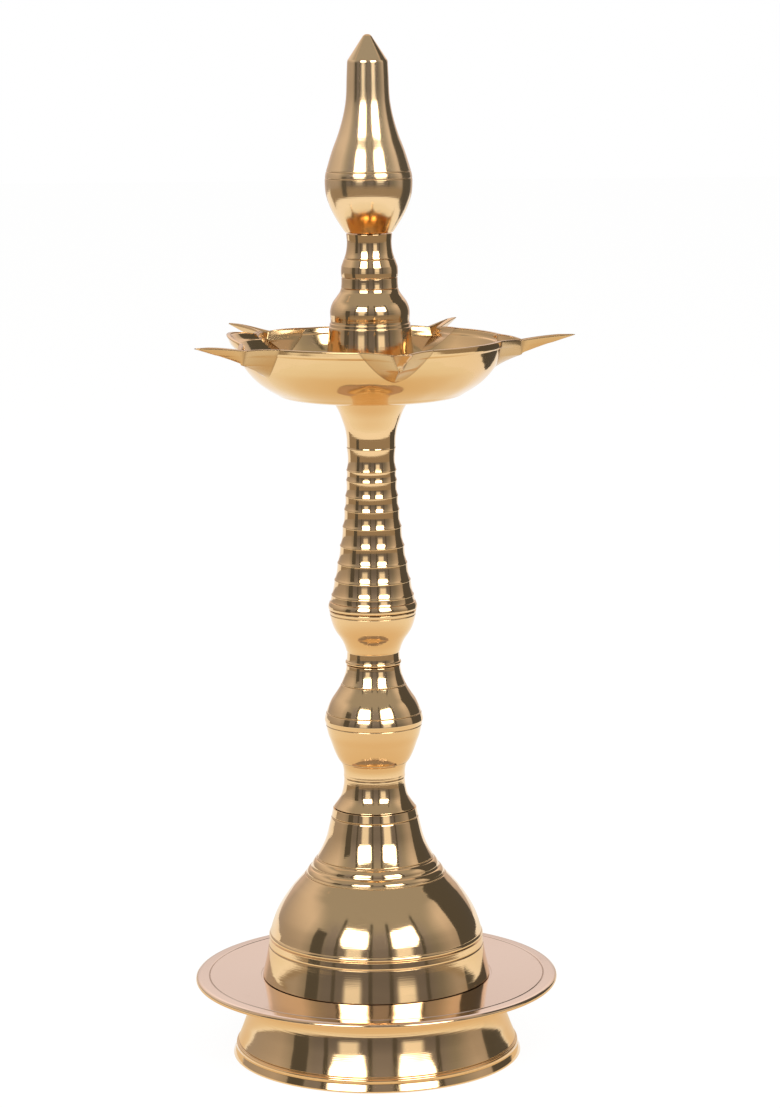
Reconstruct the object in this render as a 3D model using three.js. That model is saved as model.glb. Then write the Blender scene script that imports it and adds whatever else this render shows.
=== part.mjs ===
import * as THREE from 'three';

// Samai lamp: a standing brass oil lamp with a drip plate, a ringed stem and a bowl with five wick spouts.
// Millimetres, +Z up. The origin is on the floor, on the lamp's axis, and the viewer stands towards -Y.

// Whole lamp; the ringed stem takes up what the other sections leave of its height
const lampHeight = 381;

// Clearances
const seatGap = 0.3;
const studGap = 0.3;
const seatCount = 8;

// Foot skirt
const footHeight = 28;
const footBottomRadius = 54.4;
const footBandHeight = 4.6;
const footBandLean = 0.6;
const footNeckRadius = 48.4;
const footNeckLevel = 15.5;
const footTopRadius = 54.5;
const footWall = 3;
const footHollowRise = 4;
const footWaistHandles = [[-2, 3.4], [0, -4.6]];
const footFlareHandles = [[0, 5], [-4.6, -3]];

// Drip plate
const plateRadius = 68.1;
const plateThickness = 2;
const plateBorder = 5.6;
const plateBorderFall = 0.6;
const plateEdge = 0.7;
const domeSeatDepth = 0.5;

// Base dome
const domeHeight = 64.2;
const domeBottomRadius = 43.2;
const domeFlare = 1.4;
const domeShoulderLevel = 12.1;
const domeLineLevel = 15.9;
const domeLineStep = 0.5;
const domeTopRadius = 15.6;
const domeWall = 3;
const domeBossDepth = 13;
const domeLowerHandles = [[-1.6, 6.9], [6.7, -6.9]];
const domeUpperHandles = [[-4.4, 5.5], [1.2, -9]];
const domeHollowHandles = [[3, -6], [-3, 17.7]];
const spigotRadius = 37.5;
const spigotDepth = 5;
const reedRadius = 25.9;
const reedDepth = 0.5;
const reedHeight = 2.2;
const reedLevel = 38.9;

// Bulb of the stem
const bulbHeight = 54.2;
const bulbFootRadius = 15.4;
const bulbFootBend = [0.2, 2.6];
const bulbBandRadius = 11.5;
const bulbBandLevel = 11.6;
const bulbBandHeight = 5;
const bulbRadius = 18.3;
const bulbLevel = 33.4;
const bulbNeckRadius = 10;
const bulbNeckLevel = 52.8;
const bulbLowerHandles = [[3.2, 4.6], [-0.8, -6]];
const bulbUpperHandles = [[-1.2, 8], [1.6, -8.4]];
const bulbSpigotRadius = 6;
const bulbSpigotHeight = 4;

// Bead under the ringed stem, with a narrow lip and a neck at its foot
const beadHeight = 20.4;
const beadRadius = 16.1;
const beadLipRadius = 10.3;
const beadLipHeight = 1.2;
const beadNeckRadius = 9.8;
const beadNeckLevel = 4.9;
const beadHandles = [[0.8, 4.2], [-0.8, -6]];

// Ringed stem
const ringedNeckRadius = 9;
const ringedFlare = 7.4;
const ringedFlarePower = 1.9;
const ringedLipHeight = 2.8;
const ringedLipChamfer = 0.6;
const ringStep = 0.35;
const ringHeight = 0.5;
const coveShare = 0.45;
const ringTaper = 0.8;
const ringShares = [0.065, 0.137, 0.219, 0.302, 0.393, 0.475, 0.54, 0.615, 0.663, 0.77];
const collarRadius = 14.2;
const collarShare = 0.835;
const collarBend = [0.4, 6.4];

// Oil bowl
const bowlHeight = 22.3;
const bowlRadius = 50;
const bowlFlatRadius = 22;
const bowlCorner = [8.6, 1.2];
const bowlCornerShare = 0.3;
const bowlFloor = 2;
const bowlWall = 1.6;
const spoutCount = 5;
const firstSpoutAngle = -79;
const spoutSetting = [0, 5, -1, -1, 5];
const spoutReach = 76;
const spoutRise = 1.2;
const spoutRootAngle = 17;
const foldReach = 55.8;
const foldHalfWidth = 2.9;
const noseHalfWidth = 0.5;
const keelStart = 9;
const keelPower = 2;
const keelWidth = 0.35;
const innerKeelRise = 2.2;
const innerFoldStep = 0.5;
const noseWall = 3.5;
const arcLean = [0, 0, 0, 3, 0];
const arcLift = [0, 0, 0, 2, 0];

// Bell and neck over the bowl
const bellHeight = 58.5;
const bellFootRadius = 17.6;
const bellWallBend = [1, 0.6];
const bellStepLevel = 24.6;
const bellStep = 0.6;
const bellShoulderRadius = 14.6;
const bellShoulderLevel = 29;
const bellShoulderHandles = [[0, 5], [2, -3]];
const bandRadius = 10.2;
const bandLevel = 38.6;
const bandHeight = 7.4;
const bandHollow = 0.4;
const neckRadius = 8.1;
const neckLipHeight = 2.6;
const neckHandles = [[-0.2, 3], [0, -5.9]];

// Finial
const finialHeight = 71.7;
const finialSeatRadius = 8.5;
const finialBulbRadius = 15.9;
const finialBulbLevel = 18.2;
const finialNeckRadius = 7.9;
const finialNeckLevel = 46.5;
const finialConeRadius = 7.4;
const finialConeHeight = 9.2;
const finialTipRadius = 0.9;
const finialLowerHandles = [[3.1, 2.6], [0, -7.2]];
const finialUpperHandles = [[0, 8.8], [1, -9]];

// Threaded studs, plain inside their bores
const studRadius = 4;
const baseStudRadius = 5;
const studHeld = 12;
const threadLength = 10;
const studChamfer = 0.6;

// Colours of the three brasses and of the pieces that reflect the floor
const polishedColor = 0xd2a56d;
const plateColor = 0xd9b18a;
const beadColor = 0xdda968;
const spunColor = 0xdaa86b;
const threadedColor = 0xb9935a;
const polish = 0.16;

// Steps of the bowl's wall, of the arc between two spouts and of a spout's flank from its root to its fold
const wallSteps = 9;
const arcColumns = 3;
const flankShares = [0, 0.35, 0.7];

// Facets round each turned piece
const wideFacets = 40;
const stemFacets = 24;
const studFacets = 16;

// The ringed stem's height and the levels of its rings and its collar
const belowStem = footHeight + plateThickness - domeSeatDepth + domeHeight + bulbHeight + beadHeight;
const aboveStem = bowlFloor + bellHeight + finialHeight;
const ringedHeight = lampHeight - belowStem - aboveStem - seatCount * seatGap;
const ringLevels = ringShares.map((share) => share * ringedHeight);
const collarLevel = collarShare * ringedHeight;

// Levels of the seats, from the floor up
const plateLevel = footHeight + seatGap;
const domeLevel = plateLevel + plateThickness - domeSeatDepth + seatGap;
const bulbSeat = domeLevel + domeHeight + seatGap;
const beadLevel = bulbSeat + bulbHeight + seatGap;
const ringedLevel = beadLevel + beadHeight + seatGap;
const bowlLevel = ringedLevel + ringedHeight + seatGap;
const bellLevel = bowlLevel + bowlFloor + seatGap;
const finialLevel = bellLevel + bellHeight + seatGap;

const lamp = new THREE.Group();
lamp.name = 'samai_lamp';

function brass(color) {
  return new THREE.MeshStandardMaterial({ color, roughness: polish, metalness: 1 });
}

// A mesh turned about the lamp's axis from an outline of radius and height, standing at a level
function turned(name, outline, level, facets, steps, color = polishedColor) {
  const geometry = new THREE.LatheGeometry(outline.getPoints(steps), facets);
  geometry.rotateX(Math.PI / 2);
  const mesh = new THREE.Mesh(geometry, brass(color));
  mesh.name = name;
  mesh.position.z = level;
  lamp.add(mesh);
  return mesh;
}

// A curve on to a radius and level; its two handles are given from its start and from its end
function swell(outline, [fromStart, fromEnd], radius, level) {
  const start = outline.currentPoint;
  outline.bezierCurveTo(
    start.x + fromStart[0], start.y + fromStart[1],
    radius + fromEnd[0], level + fromEnd[1],
    radius, level,
  );
}

// The start of an outline whose underside holds a stud in a blind socket
function overSocket(radius) {
  const outline = new THREE.Path();
  const depth = studHeld + seatGap;
  outline.moveTo(0, depth);
  outline.lineTo(radius + studGap, depth);
  outline.lineTo(radius + studGap, 0);
  return outline;
}

// The end of an outline whose top holds a thread hole, down to the axis
function intoThreadHole(outline, top, radius) {
  const floor = top - threadLength - 2 * seatGap;
  outline.lineTo(radius + studGap, top);
  outline.lineTo(radius + studGap, floor);
  outline.lineTo(0, floor);
  return outline;
}

function footSkirt() {
  const innerTop = spigotRadius + studGap;
  const ledge = footHeight - spigotDepth;
  const outline = new THREE.Path();
  outline.moveTo(footBottomRadius - footWall, 0);
  outline.lineTo(footBottomRadius, 0);
  outline.lineTo(footBottomRadius - footBandLean, footBandHeight);
  swell(outline, footWaistHandles, footNeckRadius, footNeckLevel);
  swell(outline, footFlareHandles, footTopRadius, footHeight);
  outline.lineTo(innerTop, footHeight);
  outline.lineTo(innerTop, ledge);
  outline.lineTo(footNeckRadius - footWall, ledge);
  outline.lineTo(footNeckRadius - footWall, footNeckLevel);
  outline.quadraticCurveTo(
    footNeckRadius - footWall, footBandHeight + footHollowRise,
    footBottomRadius - footWall, 0,
  );
  turned('foot_skirt', outline, 0, wideFacets, 5);
}

function dripPlate() {
  const outline = new THREE.Path();
  const rim = plateThickness - plateBorderFall;
  const bore = spigotRadius + studGap;
  const seatRadius = domeBottomRadius + seatGap;
  outline.moveTo(bore, 0);
  outline.lineTo(plateRadius - plateEdge, 0);
  outline.quadraticCurveTo(plateRadius, 0, plateRadius, rim / 2);
  outline.quadraticCurveTo(plateRadius, rim, plateRadius - plateEdge, rim);
  outline.lineTo(plateRadius - plateBorder, plateThickness);
  outline.lineTo(seatRadius, plateThickness);
  outline.lineTo(seatRadius, plateThickness - domeSeatDepth);
  outline.lineTo(bore, plateThickness - domeSeatDepth);
  outline.lineTo(bore, 0);
  turned('drip_plate', outline, plateLevel, wideFacets, 2, plateColor);
}

function baseDome() {
  const shoulder = domeBottomRadius - domeLineStep - domeFlare;
  const waist = shoulder - domeLineStep;
  const reedFoot = reedLevel - reedHeight;
  const bossLevel = domeHeight - domeBossDepth;
  const bore = baseStudRadius + studGap;
  const outline = new THREE.Path();
  outline.moveTo(spigotRadius - domeWall, -spigotDepth);
  outline.lineTo(spigotRadius, -spigotDepth);
  outline.lineTo(spigotRadius, 0);
  outline.lineTo(domeBottomRadius, 0);
  outline.quadraticCurveTo(shoulder, domeShoulderLevel / 6, shoulder, domeShoulderLevel);
  outline.lineTo(waist, domeLineLevel);
  swell(outline, domeLowerHandles, reedRadius + reedHeight, reedFoot);
  outline.lineTo(reedRadius + reedHeight + reedDepth, reedFoot);
  outline.lineTo(reedRadius + reedDepth, reedLevel);
  outline.lineTo(reedRadius, reedLevel);
  outline.lineTo(reedRadius - reedHeight, reedLevel + reedHeight);
  swell(outline, domeUpperHandles, domeTopRadius, domeHeight);
  outline.lineTo(bore, domeHeight);
  outline.lineTo(bore, bossLevel);
  outline.lineTo(domeTopRadius - domeWall, bossLevel);
  swell(outline, domeHollowHandles, spigotRadius - domeWall, domeLineLevel);
  outline.lineTo(spigotRadius - domeWall, -spigotDepth);
  turned('base_dome', outline, domeLevel, wideFacets, 5);
}

function stemBulb() {
  const outline = overSocket(baseStudRadius);
  const bandTop = bulbBandLevel + bulbBandHeight;
  outline.lineTo(bulbFootRadius, 0);
  outline.quadraticCurveTo(bulbBandRadius + bulbFootBend[0], bulbFootBend[1], bulbBandRadius, bulbBandLevel);
  outline.lineTo(bulbBandRadius, bandTop);
  swell(outline, bulbLowerHandles, bulbRadius, bulbLevel);
  swell(outline, bulbUpperHandles, bulbNeckRadius, bulbNeckLevel);
  outline.lineTo(bulbNeckRadius, bulbHeight);
  outline.lineTo(bulbSpigotRadius, bulbHeight);
  outline.lineTo(bulbSpigotRadius, bulbHeight + bulbSpigotHeight);
  outline.lineTo(0, bulbHeight + bulbSpigotHeight);
  turned('stem_bulb', outline, bulbSeat, stemFacets, 5);
}

function stemBead() {
  const socket = bulbSpigotRadius + studGap;
  const bore = studRadius + studGap;
  const shelf = bulbSpigotHeight + seatGap;
  const outline = new THREE.Path();
  outline.moveTo(socket, 0);
  outline.lineTo(beadLipRadius, 0);
  outline.lineTo(beadLipRadius, beadLipHeight);
  outline.lineTo(beadNeckRadius, beadLipHeight);
  outline.lineTo(beadNeckRadius, beadNeckLevel);
  swell(outline, beadHandles, beadRadius, beadHeight);
  outline.lineTo(bore, beadHeight);
  outline.lineTo(bore, shelf);
  outline.lineTo(socket, shelf);
  outline.lineTo(socket, 0);
  turned('stem_bead', outline, beadLevel, stemFacets, 5, beadColor);
}

// The radius that the rings of the stem touch at a height, wider towards the foot
function ringRadius(height) {
  const top = ringLevels[ringLevels.length - 1];
  const fall = Math.max(0, (top - height) / top);
  return ringedNeckRadius + ringedFlare * fall ** ringedFlarePower;
}

function ringedStem() {
  const outline = overSocket(studRadius);
  outline.lineTo(ringRadius(0) - ringedLipChamfer, 0);
  outline.lineTo(ringRadius(0), ringedLipChamfer);
  outline.lineTo(ringRadius(0), ringedLipHeight - ringedLipChamfer);
  outline.lineTo(ringRadius(ringedLipHeight), ringedLipHeight);
  let below = ringedLipHeight;
  for (const level of ringLevels) {
    const underRing = ringRadius(level) - ringStep;
    const coveLevel = below + (level - below) * coveShare;
    outline.quadraticCurveTo(underRing, coveLevel, underRing, level - ringHeight);
    outline.lineTo(underRing + 2 * ringStep, level - ringHeight);
    outline.lineTo(underRing + 2 * ringStep, level);
    below = level;
  }
  outline.lineTo(ringedNeckRadius, below + ringTaper);
  outline.lineTo(ringedNeckRadius, collarLevel);
  outline.quadraticCurveTo(
    ringedNeckRadius + collarBend[0], ringedHeight - collarBend[1],
    collarRadius, ringedHeight,
  );
  intoThreadHole(outline, ringedHeight, studRadius);
  turned('ringed_stem', outline, ringedLevel, stemFacets, 2);
}

// The bowl's two skins, each with the values that its walls and spouts are shaped by
const outerSkin = {
  floor: 0, radius: bowlRadius, keel: keelStart,
  reach: spoutReach, noseHalf: noseHalfWidth, foldReach, foldHalf: foldHalfWidth,
};
const innerSkin = {
  floor: bowlFloor, radius: bowlRadius - bowlWall, keel: keelStart + innerKeelRise,
  reach: spoutReach - noseWall, noseHalf: noseHalfWidth, foldReach: foldReach - innerFoldStep,
  foldHalf: foldHalfWidth - bowlWall,
};

// The bowl's wall without spouts: a flat floor, a rounded corner and a nearly upright side
function bowlWallCurve(skin) {
  const depth = bowlHeight - skin.floor;
  return new THREE.CubicBezierCurve(
    new THREE.Vector2(bowlFlatRadius, skin.floor),
    new THREE.Vector2(skin.radius - bowlCorner[0], skin.floor),
    new THREE.Vector2(skin.radius - bowlCorner[1], skin.floor + depth * bowlCornerShare),
    new THREE.Vector2(skin.radius, bowlHeight),
  );
}

// Plan points of one spout at the rim, out and sideways, from its right root over the nose to its left
function spoutPlan(skin) {
  const root = THREE.MathUtils.degToRad(spoutRootAngle);
  const rootPoint = new THREE.Vector2(skin.radius * Math.cos(root), skin.radius * Math.sin(root));
  const fold = new THREE.Vector2(skin.foldReach, skin.foldHalf);
  const nose = new THREE.Vector2(skin.reach, skin.noseHalf);
  const half = flankShares.map((share) => rootPoint.clone().lerp(fold, share));
  half.push(fold, fold.clone().lerp(nose, 0.5), nose);
  const mirrored = half.map((point) => new THREE.Vector2(point.x, -point.y));
  return [...mirrored, ...half.reverse()];
}

// Angles of all columns round the bowl, and how far each stands out of the round rim and above it
function bowlColumns(skin) {
  const columns = [];
  const angles = spoutSetting.map((offset, i) => firstSpoutAngle + offset + (i * 360) / spoutCount);
  angles.forEach((angle, i) => {
    for (const point of spoutPlan(skin)) {
      const out = point.length() - skin.radius;
      const turn = THREE.MathUtils.radToDeg(point.angle());
      columns.push({
        spout: angle,
        turn: turn > 180 ? turn - 360 : turn,
        out,
        lift: (spoutRise * Math.max(0, out)) / (spoutReach - bowlRadius),
      });
    }
    const next = angles[i + 1] ?? angles[0] + 360;
    for (let k = 1; k <= arcColumns; k += 1) {
      const share = k / (arcColumns + 1);
      const bulge = Math.sin(Math.PI * share);
      columns.push({ spout: angle, next, share, out: arcLean[i] * bulge, lift: arcLift[i] * bulge });
    }
  });
  return columns;
}

// How wide a spout is at a height, from 1 at the rim to its least at the keel's start
function narrowing(rise) {
  return keelWidth + (1 - keelWidth) * Math.min(1, Math.abs(rise));
}

function bowlPoint(column, skin, radius, height) {
  const rise = (height - skin.keel) / (bowlHeight - skin.keel);
  const width = narrowing(rise);
  const grown = Math.max(0, rise) ** keelPower;
  let angle = column.spout;
  if (column.next === undefined) {
    angle += column.turn * width;
  } else {
    const from = column.spout + spoutRootAngle * width;
    const to = column.next - spoutRootAngle * width;
    angle = from + (to - from) * column.share;
  }
  const turn = THREE.MathUtils.degToRad(angle);
  const reach = radius + column.out * grown;
  return [reach * Math.cos(turn), reach * Math.sin(turn), height + column.lift * grown];
}

function oilBowl() {
  const rows = [];
  const hole = studRadius + studGap;
  for (const skin of [outerSkin, innerSkin]) {
    const columns = bowlColumns(skin);
    const curve = bowlWallCurve(skin);
    const skinRows = [columns.map((column) => bowlPoint(column, skin, hole, skin.floor))];
    for (let step = 0; step <= wallSteps; step += 1) {
      const point = curve.getPoint(step / wallSteps);
      skinRows.push(columns.map((column) => bowlPoint(column, skin, point.x, point.y)));
    }
    rows.push(...(skin === outerSkin ? skinRows : skinRows.reverse()));
  }
  const across = rows[0].length;
  const positions = rows.flat(2);
  const index = [];
  rows.forEach((row, r) => {
    const upper = (r + 1) % rows.length;
    for (let c = 0; c < across; c += 1) {
      const d = (c + 1) % across;
      index.push(r * across + c, r * across + d, upper * across + d);
      index.push(r * across + c, upper * across + d, upper * across + c);
    }
  });
  const geometry = new THREE.BufferGeometry();
  geometry.setAttribute('position', new THREE.Float32BufferAttribute(positions, 3));
  geometry.setIndex(index);
  geometry.computeVertexNormals();
  const mesh = new THREE.Mesh(geometry, brass(spunColor));
  mesh.name = 'oil_bowl';
  mesh.position.z = bowlLevel;
  lamp.add(mesh);
}

function bowlBell() {
  const bandTop = bandLevel + bandHeight;
  const outline = overSocket(studRadius);
  outline.lineTo(bellFootRadius, 0);
  outline.quadraticCurveTo(
    bellShoulderRadius + bellWallBend[0], bellStepLevel * bellWallBend[1],
    bellShoulderRadius + bellStep, bellStepLevel,
  );
  outline.lineTo(bellShoulderRadius, bellStepLevel);
  outline.lineTo(bellShoulderRadius, bellShoulderLevel);
  swell(outline, bellShoulderHandles, bandRadius, bandLevel);
  outline.quadraticCurveTo(bandRadius - bandHollow, bandLevel + bandHeight / 3, bandRadius, bandTop);
  swell(outline, neckHandles, neckRadius, bellHeight - neckLipHeight);
  outline.lineTo(finialSeatRadius, bellHeight);
  intoThreadHole(outline, bellHeight, studRadius);
  turned('bowl_bell', outline, bellLevel, stemFacets, 4);
}

function finial() {
  const coneLevel = finialHeight - finialConeHeight;
  const outline = overSocket(studRadius);
  outline.lineTo(finialSeatRadius, 0);
  swell(outline, finialLowerHandles, finialBulbRadius, finialBulbLevel);
  swell(outline, finialUpperHandles, finialNeckRadius, finialNeckLevel);
  outline.lineTo(finialConeRadius, coneLevel);
  outline.lineTo(finialTipRadius, finialHeight - finialTipRadius);
  outline.lineTo(0, finialHeight);
  turned('finial', outline, finialLevel, stemFacets, 6);
}

// A plain round stud, held in the piece above a seat and reaching down into the thread hole below it
function stud(name, seat, radius, through = 0) {
  const outline = new THREE.Path();
  const bottom = -(threadLength + seatGap + through);
  outline.moveTo(0, bottom);
  outline.lineTo(radius - studChamfer, bottom);
  outline.lineTo(radius, bottom + studChamfer);
  outline.lineTo(radius, studHeld);
  outline.lineTo(0, studHeld);
  turned(name, outline, seat, studFacets, 1, threadedColor);
}

footSkirt();
dripPlate();
baseDome();
stemBulb();
stemBead();
ringedStem();
oilBowl();
bowlBell();
finial();
stud('base_stud', bulbSeat, baseStudRadius);
stud('stem_stud', ringedLevel, studRadius);
stud('bowl_stud', bellLevel, studRadius, bowlFloor + seatGap);
stud('finial_stud', finialLevel, studRadius);

export default lamp;
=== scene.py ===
import bpy
import math
from mathutils import Matrix, Vector


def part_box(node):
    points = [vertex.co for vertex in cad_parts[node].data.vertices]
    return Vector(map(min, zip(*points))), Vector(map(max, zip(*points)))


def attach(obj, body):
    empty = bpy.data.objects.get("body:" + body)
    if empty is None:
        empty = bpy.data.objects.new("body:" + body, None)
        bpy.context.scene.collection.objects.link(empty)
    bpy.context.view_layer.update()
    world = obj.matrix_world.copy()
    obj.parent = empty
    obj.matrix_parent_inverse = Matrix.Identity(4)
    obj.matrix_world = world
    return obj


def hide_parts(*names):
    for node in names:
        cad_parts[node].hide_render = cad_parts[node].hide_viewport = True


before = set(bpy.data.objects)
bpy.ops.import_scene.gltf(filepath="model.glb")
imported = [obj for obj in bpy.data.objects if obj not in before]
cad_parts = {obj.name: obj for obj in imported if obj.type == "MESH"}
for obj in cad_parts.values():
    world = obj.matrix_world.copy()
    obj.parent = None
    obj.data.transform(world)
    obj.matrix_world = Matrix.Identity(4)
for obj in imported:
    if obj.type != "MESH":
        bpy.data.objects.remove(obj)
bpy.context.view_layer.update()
mm = 0.001
tiny = 1e-6  # a side of an outline that is shorter is left out
joinWithin = 2e-6  # metres
scene = bpy.context.scene


# A socket of a node tree, so that maths on it is written as maths
class Value:
    def __init__(self, maker, socket):
        self.maker = maker
        self.socket = socket

    def calc(self, operation, *others):
        return self.maker.calc(operation, self, *others)

    def __add__(self, other):
        return self.calc("ADD", other)

    def __radd__(self, other):
        return self.calc("ADD", other)

    def __sub__(self, other):
        return self.calc("SUBTRACT", other)

    def __rsub__(self, other):
        return self.maker.calc("SUBTRACT", other, self)

    def __mul__(self, other):
        return self.calc("MULTIPLY", other)

    def __rmul__(self, other):
        return self.calc("MULTIPLY", other)

    def __truediv__(self, other):
        return self.calc("DIVIDE", other)

    def __rtruediv__(self, other):
        return self.maker.calc("DIVIDE", other, self)

    def __mod__(self, other):
        return self.calc("FLOORED_MODULO", other)

    def __neg__(self):
        return self.calc("MULTIPLY", -1)

    def clamp(self):
        return self.calc("MAXIMUM", 0).calc("MINIMUM", 1)

    def part(self, axis):
        return self.maker.add("ShaderNodeSeparateXYZ", {}, {0: self}, axis)


# A node tree and the one way that nodes are added to it
class Maker:
    def __init__(self, tree):
        self.tree = tree

    def add(self, kind, settings, inputs, output=0):
        node = self.tree.nodes.new(kind)
        for name, setting in settings.items():
            if name == "stops":
                self.setStops(node.color_ramp, setting)
            else:
                setattr(node, name, setting)
        for key, given in inputs.items():
            if isinstance(given, Value):
                self.tree.links.new(given.socket, node.inputs[key])
            else:
                node.inputs[key].default_value = given
        return Value(self, node.outputs[output]) if len(node.outputs) else node

    def setStops(self, ramp, stops):
        for spare in range(len(stops) - 2):
            ramp.elements.new(0.5)
        for element, (place, shade) in zip(ramp.elements, stops):
            element.position = place
            element.color = (*shade, 1)

    def calc(self, operation, *values):
        return self.add("ShaderNodeMath", {"operation": operation}, dict(enumerate(values)))

    def vector(self, x, y, z):
        return self.add("ShaderNodeCombineXYZ", {}, {0: x, 1: y, 2: z})

    def blend(self, factor, first, second):
        return self.add("ShaderNodeMix", {"data_type": "RGBA"}, {0: factor, 6: first, 7: second}, 2)

    def smoothRange(self, value, low, high, start=0.0, end=1.0):
        return self.add("ShaderNodeMapRange", {"interpolation_type": "SMOOTHSTEP"},
                        {0: value, 1: low, 2: high, 3: start, 4: end})

    def length(self, vector):
        return self.add("ShaderNodeVectorMath", {"operation": "LENGTH"}, {0: vector}, 1)


# Half of a turned piece's section in millimetres: out from the inside of its foot, up, and in at its top
class Outline:
    def __init__(self, level, radius, height):
        self.level = level
        self.points = [Vector((radius, level + height))]
        self.cuts = []

    def line(self, *places):
        for radius, height in places:
            self.points.append(Vector((radius, self.level + height)))
        return self

    def curve(self, *places, longest=0.7):  # a smooth curve from the last point through these
        stops = [self.points[-1]] + [Vector((radius, self.level + height)) for radius, height in places]
        stops = [2 * stops[0] - stops[1]] + stops + [2 * stops[-1] - stops[-2]]
        for i in range(1, len(stops) - 2):
            a, b, c, d = stops[i - 1:i + 3]
            steps = max(3, round((c - b).length / longest))
            for step in range(1, steps + 1):
                t = step / steps
                even = 2 * b + (c - a) * t
                bent = (2 * a - 5 * b + 4 * c - d) * t * t + (3 * b - a - 3 * c + d) * t * t * t
                self.points.append((even + bent) / 2)
        return self

    def cut(self, kind, place, width, depth):  # a groove or a bead at a height, or a ring at a radius on a flat face
        if kind == "ring":
            self.cuts.append((place, width, depth, 0))
        else:
            self.cuts.append((self.level + place, width, -depth if kind == "bead" else depth, 1))


# Follows a piece's dictionary: the start, then its lines and curves, then what is cut into them
def outlineOf(look, level):
    outline = Outline(level, *look["start"])
    for kind, *places in look["path"]:
        if kind == "curve":
            outline.curve(*places)
        else:
            outline.line(*places)
    for cut in look.get("cuts", ()):
        outline.cut(*cut)
    return outline


# Rounds each corner that bends by more degrees than "bend", over a length of "reach" or nearly half of a short side
def softCorners(points, closed, reach, bend=18, mostOfSide=0.45, steps=4):
    soft = []
    last = len(points) - 1
    for i, point in enumerate(points):
        if not closed and i in (0, last):
            soft.append(point)
            continue
        before = points[i - 1] - point
        after = points[(i + 1) % len(points)] - point
        if before.length < tiny or after.length < tiny:
            continue
        turn = 180 - math.degrees(before.angle(after))
        if turn < bend:
            soft.append(point)
            continue
        size = min(reach, before.length * mostOfSide, after.length * mostOfSide)
        start = point + before.normalized() * size
        end = point + after.normalized() * size
        for step in range(steps + 1):
            t = step / steps
            soft.append(start * (1 - t) ** 2 + point * 2 * t * (1 - t) + end * t * t)
    return soft


# Splits long steps, with a short one beside each corner so that shading stays crisp there
def evenSteps(points, longest=1.6, guard=0.12):
    even = [points[0]]
    for before, after in zip(points, points[1:]):
        gap = after - before
        if gap.length > 4 * guard:
            inner = gap.length - 2 * guard
            count = max(1, math.ceil(inner / longest))
            for step in range(count + 1):
                even.append(before + gap.normalized() * (guard + inner * step / count))
        even.append(after)
    return even


# Half a cut's section: how far from its middle, as a share of its width, and how deep there, as a share of its depth
grooveSide = ((0.5, 0), (0.36, 0.12), (0.18, 0.8))
beadSide = ((0.5, 0), (0.46, 0.3), (0.36, 0.62), (0.2, 0.9))


def cutLine(points, marks, place, width, depth, axis):
    best = None  # the crossing that lies farthest out, or highest where the cut is a ring on a flat face
    for i, (a, b) in enumerate(zip(points, points[1:])):
        if min(a[axis], b[axis]) <= place < max(a[axis], b[axis]):
            spot = a.lerp(b, (place - a[axis]) / (b[axis] - a[axis]))
            if best is None or spot[1 - axis] > best[1][1 - axis]:
                best = (i, spot, (b - a).normalized())
    if best is None:
        raise ValueError(f"no face for the line at {place}")
    first, spot, along = best
    last = first + 1
    while first > 0 and (points[first] - spot).length < width / 2:
        first -= 1
    while last < len(points) - 1 and (points[last] - spot).length < width / 2:
        last += 1
    inward = Vector((-along.y, along.x))
    side = grooveSide if depth > 0 else beadSide
    cut = []
    cutMarks = []
    for share, sunk in [(-share, sunk) for share, sunk in side] + [(0, 1)] + list(side[::-1]):
        cut.append(spot + along * width * share + inward * depth * sunk)
        cutMarks.append(sunk if depth > 0 else 0)
    return points[:first + 1] + cut + points[last:], marks[:first + 1] + cutMarks + marks[last:]


# The outline as a mesh of edges whose "hollow" attribute says how deep each point lies in a groove
def outlineMesh(name, outline, closed, softness):
    points = softCorners(outline.points, closed, softness)
    if closed:
        points = points + [points[0]]
    points = evenSteps(points)
    marks = [0] * len(points)
    for place, width, depth, axis in outline.cuts:
        points, marks = cutLine(points, marks, place, width, depth, axis)
    return edgeMesh(name, [(point.x * mm, 0, point.y * mm) for point in points], {"hollow": marks})


# A chain of edges that carries numbers on its points
def edgeMesh(name, positions, attributes):
    mesh = bpy.data.meshes.new(name)
    mesh.from_pydata(positions, [(i, i + 1) for i in range(len(positions) - 1)], [])
    for label, numbers in attributes.items():
        mesh.attributes.new(label, "FLOAT", "POINT").data.foreach_set("value", numbers)
    return mesh


def newPiece(name, data):
    piece = bpy.data.objects.new(name, data)
    scene.collection.objects.link(piece)
    return piece


# A tree for Geometry Nodes with its own named inputs
def newTree(name, inputs):
    tree = bpy.data.node_groups.new(name, "GeometryNodeTree")
    tree.interface.new_socket("Geometry", in_out="INPUT", socket_type="NodeSocketGeometry")
    for label, kind in inputs.items():
        tree.interface.new_socket(label, in_out="INPUT", socket_type=f"NodeSocket{kind}")
    tree.interface.new_socket("Geometry", in_out="OUTPUT", socket_type="NodeSocketGeometry")
    maker = Maker(tree)
    return maker, {label: maker.add("NodeGroupInput", {}, {}, label) for label in ("Geometry", *inputs)}


def endTree(maker, geometry, material):
    real = maker.add("GeometryNodeRealizeInstances", {}, {"Geometry": geometry})
    dressed = maker.add("GeometryNodeSetMaterial", {}, {"Geometry": real, "Material": material})
    maker.add("NodeGroupOutput", {}, {"Geometry": dressed})
    return maker.tree


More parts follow.
